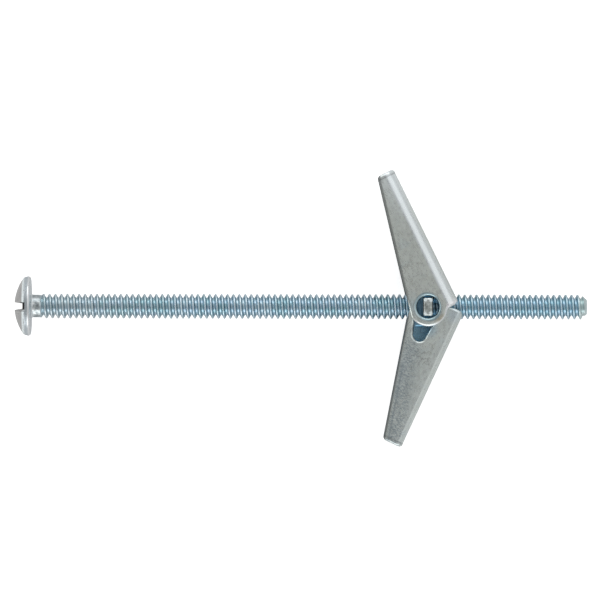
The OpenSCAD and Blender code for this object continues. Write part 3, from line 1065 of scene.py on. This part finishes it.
# %% Cut the slot and round its lips
LIP_ROUND = 0.1 * MM
LIP_ANGLE = math.radians(40)
LIP_TOLERANCE = 0.01 * MM
LIP_MERGE = 0.004 * MM
LIP_SHORTEST = 0.002 * MM


def slot_lips(bm):
    """The sharp edges along both sides of the slot."""
    turn_back = Matrix.Rotation(-SLOT_TURN, 3, "X")
    lips = []
    for edge in bm.edges:
        ends = [turn_back @ v.co for v in edge.verts]
        beside = all(abs(abs(p.y) - SLOT_WIDTH / 2) < LIP_TOLERANCE for p in ends)
        if beside and edge.is_manifold and edge.calc_face_angle(0) > LIP_ANGLE:
            lips.append(edge)
    print("slot lips:", len(lips), "edges")
    return lips


def cut_slot(head):
    cutter = slot_cutter()
    cut = head.modifiers.new("slot", "BOOLEAN")
    cut.operation, cut.solver, cut.object = "DIFFERENCE", "EXACT", cutter
    apply_modifiers(head)
    bpy.data.objects.remove(cutter)
    bm = bmesh.new()
    bm.from_mesh(head.data)
    bmesh.ops.remove_doubles(bm, verts=bm.verts, dist=LIP_MERGE)
    bmesh.ops.dissolve_degenerate(bm, edges=bm.edges, dist=LIP_SHORTEST)
    bmesh.ops.bevel(
        bm, geom=slot_lips(bm), offset=LIP_ROUND, offset_type="OFFSET", affect="EDGES",
        segments=3, profile=0.5, clamp_overlap=True, material=-1,
    )
    bm.to_mesh(head.data)
    bm.free()


cut_slot(screw_piece)

# %% [markdown]
# The head and the thread are still two shells. Both are left open at the neck, and a bridge of
# faces between the two open ends makes the screw one closed piece.

# %% Join the head to the thread
NECK_BRIDGE = 0.1 * MM


def join_shells(head, thread):
    """Open the end of the neck, and bridge it to the open end of the thread."""
    bm = bmesh.new()
    bm.from_mesh(head.data)
    cut_away(bm, NECK_LENGTH - NECK_BRIDGE, 1)
    bm.from_mesh(thread.data)
    bmesh.ops.bridge_loops(bm, edges=[e for e in bm.edges if e.is_boundary])
    bmesh.ops.recalc_face_normals(bm, faces=bm.faces)
    print("screw: open edges", sum(e.is_boundary for e in bm.edges), "of", len(bm.edges))
    bm.to_mesh(head.data)
    bm.free()
    bpy.data.objects.remove(thread)


join_shells(screw_piece, thread_piece)
smooth_by_angle(screw_piece, TURNED_ANGLE)
finish_piece(screw_piece, "screw", "screw", screw_zinc)

# %% [markdown]
# ## Pressed sheet metal
#
# The wings and the nut are stampings, and their cut edges are never sharp. Modelling them anew
# would risk their fit, so each solid is copied, its loose triangles are merged into whole
# faces, and every sharp edge gets a narrow round. The inner edges have less room, so theirs is
# narrower. Weighted normals then keep the big faces flat in the light.

# %% Round the edges of the stampings
MERGE = 0.003 * MM
FLAT_ANGLE = math.radians(0.5)
SHARP_ANGLE = math.radians(28)
SMOOTH_ANGLE = math.radians(35)
OUTER_SEGMENTS, INNER_SEGMENTS = 4, 2


def sharp_edges(bm, is_inner, inner):
    sharp = [e for e in bm.edges if e.is_manifold and e.calc_face_angle(0) > SHARP_ANGLE]
    return [e for e in sharp if all(is_inner(v.co) for v in e.verts) == inner]


def rounded_copy(node, name, outer_width, inner_width, is_inner):
    mesh = frame["nodes"][node].data.copy()
    piece = bpy.data.objects.new(name, mesh)
    bpy.context.scene.collection.objects.link(piece)
    bm = bmesh.new()
    bm.from_mesh(mesh)
    bmesh.ops.remove_doubles(bm, verts=bm.verts, dist=MERGE)
    bmesh.ops.dissolve_degenerate(bm, edges=bm.edges, dist=MERGE)
    bmesh.ops.dissolve_limit(
        bm, angle_limit=FLAT_ANGLE, verts=bm.verts, edges=bm.edges, delimit=set(),
    )
    rounds = ((False, outer_width, OUTER_SEGMENTS), (True, inner_width, INNER_SEGMENTS))
    for inner, width, segments in rounds:
        sharp = sharp_edges(bm, is_inner, inner)
        print(name, "inner" if inner else "outer", "edges", len(sharp))
        bmesh.ops.bevel(
            bm, geom=sharp, offset=width, offset_type="OFFSET", affect="EDGES",
            segments=segments, profile=0.5, clamp_overlap=False, material=-1,
        )
    print(name, "open edges", sum(e.is_boundary for e in bm.edges))
    bm.to_mesh(mesh)
    bm.free()
    smooth_by_angle(piece, SMOOTH_ANGLE)
    flat = piece.modifiers.new("flat_faces", "WEIGHTED_NORMAL")
    flat.keep_sharp = True
    return apply_modifiers(piece)


# %% Make the wings and the nut
SHEET = 0.6
INNER_MARGIN = 0.01
WING_ROUND = 0.35 * MM
NUT_ROUND = 0.13 * MM
INNER_ROUND = 0.08 * MM
TAB_LENGTH = 0.5 * MM


def inside_channel(side, look):
    """A test for points on the inner surface of a wing's channel."""
    to_own = Matrix.Rotation(-look["open"], 3, "Z") @ Matrix.Diagonal((1, side, side))
    inside_web = look["web"] - SHEET + INNER_MARGIN
    inside_ear = wing_top - SHEET + INNER_MARGIN

    def test(point):
        own = to_own @ ((point - hinge) / MM)
        return own.x < inside_web and SHEET - inside_ear < own.z < inside_ear
    return test


def below_tabs(point):
    return abs(point.z) < nut_top - TAB_LENGTH


for node, name, side, look, material in (
    ("wing_a", "upper_wing", 1, UPPER_LOOK, wing_zinc_a),
    ("wing_b", "lower_wing", -1, LOWER_LOOK, wing_zinc_b),
):
    wing = rounded_copy(node, name, WING_ROUND, INNER_ROUND, inside_channel(side, look))
    finish_piece(wing, node, body=node, material=material)
nut_piece = rounded_copy("trunnion_nut", "hinge_nut", NUT_ROUND, INNER_ROUND, below_tabs)
finish_piece(nut_piece, "trunnion_nut", "nut", nut_zinc)

# %% [markdown]
# ## The spring
#
# The spring is a turn of thin wire round the nut's tab, with a leg along each wing. Its solid
# keeps one shape, but a real leg turns with its wing and winds the coil up. So here the coil
# rides on the nut and each leg on its wing. A leg also carries a stretch of the coil, a little
# thinner than the coil that hides it, which slides out as the wing folds. A bevelled curve is
# the shortest way to a round wire, and it is turned into a mesh at once.

# %% Find the route of the wire
COIL_RADIUS = 1.75 * MM
WIRE_RADIUS = 0.155 * MM
LEG_REACH = 7.5 * MM
WEB_TO_LEG = 0.8 * MM

spring_low, spring_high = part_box("torsion_spring")
coil_top = spring_high.z - WIRE_RADIUS
coil_bottom = spring_low.z + WIRE_RADIUS


def leg_seat(look):
    """Where a leg rests on its web, seen from the hinge."""
    own = Vector((look["web"] * MM - WEB_TO_LEG, LEG_REACH, 0))
    return Matrix.Rotation(look["open"], 3, "Z") @ own


def leg_angle(look):
    """The direction from the hinge in which a leg leaves the coil."""
    seat = leg_seat(look)
    return math.atan2(seat.y, seat.x) - math.acos(COIL_RADIUS / seat.length)


coil_first = leg_angle(UPPER_LOOK)
coil_last = -math.radians(360) - leg_angle(LOWER_LOOK)


def coil_point(angle):
    share = (coil_first - angle) / (coil_first - coil_last)
    height = coil_top + (coil_bottom - coil_top) * share
    return hinge + Vector((COIL_RADIUS * math.cos(angle), COIL_RADIUS * math.sin(angle), height))


print("coil turns by", round(math.degrees(coil_first - coil_last)), "degrees")

# %% Bend the spring
HIDDEN_TURN = math.radians(65)
HIDDEN_SIZE = 0.94
ARC_STEPS = 12
COIL_STEPS = 6 * ARC_STEPS
WIRE_RESOLUTION = 3


def bend_wire(name, points, sizes, body):
    """A round wire along a route, as a mesh."""
    curve = bpy.data.curves.new(name, "CURVE")
    curve.dimensions = "3D"
    curve.bevel_depth, curve.bevel_resolution = WIRE_RADIUS, WIRE_RESOLUTION
    curve.use_fill_caps = True
    route = curve.splines.new("POLY")
    route.points.add(len(points) - 1)
    for knot, point, size in zip(route.points, points, sizes):
        knot.co = (*point, 1)
        knot.radius = size
    wire = bpy.data.objects.new(name + "_route", curve)
    mesh = bpy.data.meshes.new_from_object(wire)
    bpy.data.objects.remove(wire)
    piece = bpy.data.objects.new(name, mesh)
    bpy.context.scene.collection.objects.link(piece)
    smooth_by_angle(piece, TURNED_ANGLE)
    finish_piece(piece, "torsion_spring", body, spring_zinc)


coil_turns = [coil_first + (coil_last - coil_first) * i / COIL_STEPS for i in range(COIL_STEPS + 1)]
bend_wire("spring_coil", [coil_point(turn) for turn in coil_turns], [1] * len(coil_turns), "nut")
for name, start, turn, level, side, look, body in (
    ("spring_leg_upper", coil_first, -HIDDEN_TURN, coil_top, 1, UPPER_LOOK, "wing_a"),
    ("spring_leg_lower", coil_last, HIDDEN_TURN, coil_bottom, -1, LOWER_LOOK, "wing_b"),
):
    seat = leg_seat(look)
    hidden = [coil_point(start + turn * (1 - i / ARC_STEPS)) for i in range(ARC_STEPS)]
    leg = [coil_point(start), hinge + Vector((seat.x, seat.y * side, level))]
    bend_wire(name, hidden + leg, [HIDDEN_SIZE] * ARC_STEPS + [1, 1], body)
